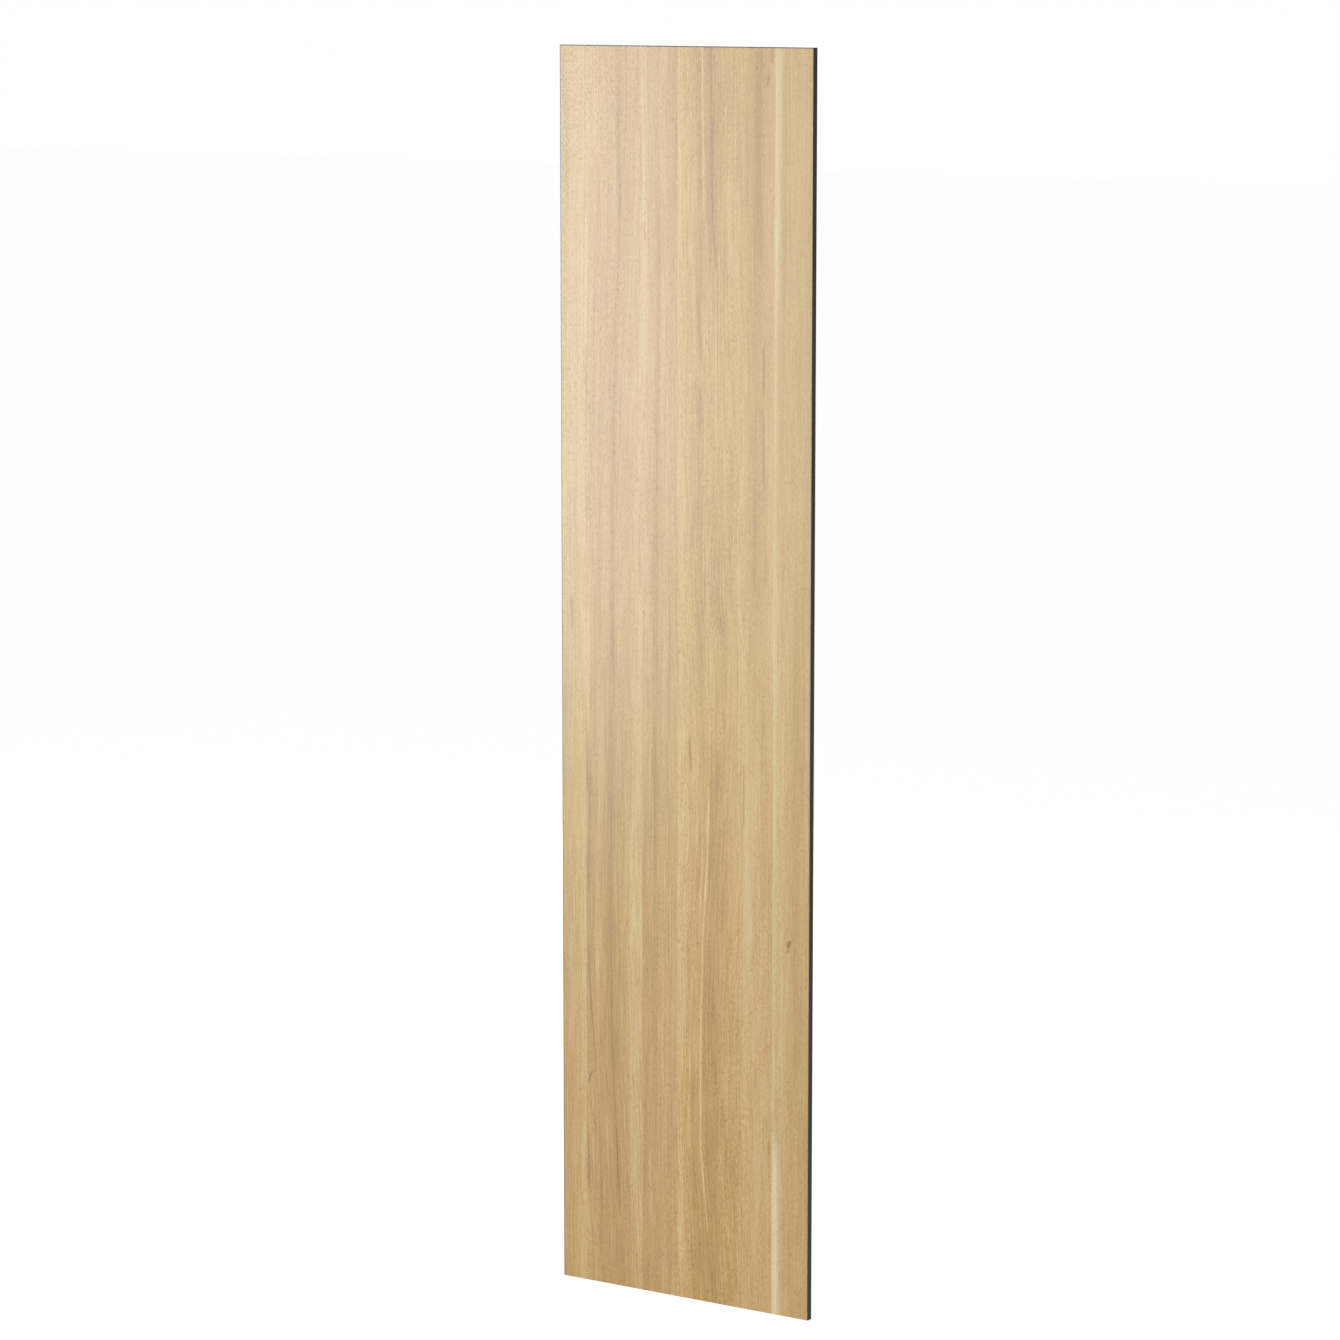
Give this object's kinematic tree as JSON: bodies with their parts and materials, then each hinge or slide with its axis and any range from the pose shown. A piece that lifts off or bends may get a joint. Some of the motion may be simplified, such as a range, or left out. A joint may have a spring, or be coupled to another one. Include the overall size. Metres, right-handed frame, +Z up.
{
  "type": "pantry cabinet cover panel",
  "caption": "Tall flat cover panel for the side of a pantry cabinet: oak-veneered board with thin dark edge bands.",
  "frame": {"origin": "floor level, in the middle of the panel's foot", "axes": "+Z up along the panel's height and its grain, -Y out of the show face, +Y out of the face that is fixed to the cabinet, +X to the right when the show face is looked at"},
  "size_m": [0.56, 0.013, 2.4],
  "materials": {
    "core": "raw pressed particle board",
    "front_veneer": "oak veneer with vertical grain under clear satin lacquer",
    "back_veneer": "plain oak veneer with vertical grain under clear satin lacquer",
    "edge_band": "near-black edge banding, fine matt texture",
    "foot_strip": "thin brown sealing strip"
  },
  "bodies": {
    "root": {"core_board": "core", "front_leaf_1": "front_veneer", "front_leaf_2": "front_veneer", "front_leaf_3": "front_veneer", "front_leaf_4": "front_veneer", "front_leaf_5": "front_veneer", "front_leaf_6": "front_veneer", "back_leaf_1": "back_veneer", "back_leaf_2": "back_veneer", "back_leaf_3": "back_veneer", "back_leaf_4": "back_veneer", "left_edge_band": "edge_band", "right_edge_band": "edge_band", "top_edge_band": "edge_band", "foot_edge_band": "foot_strip"}
  },
  "joints": []
}
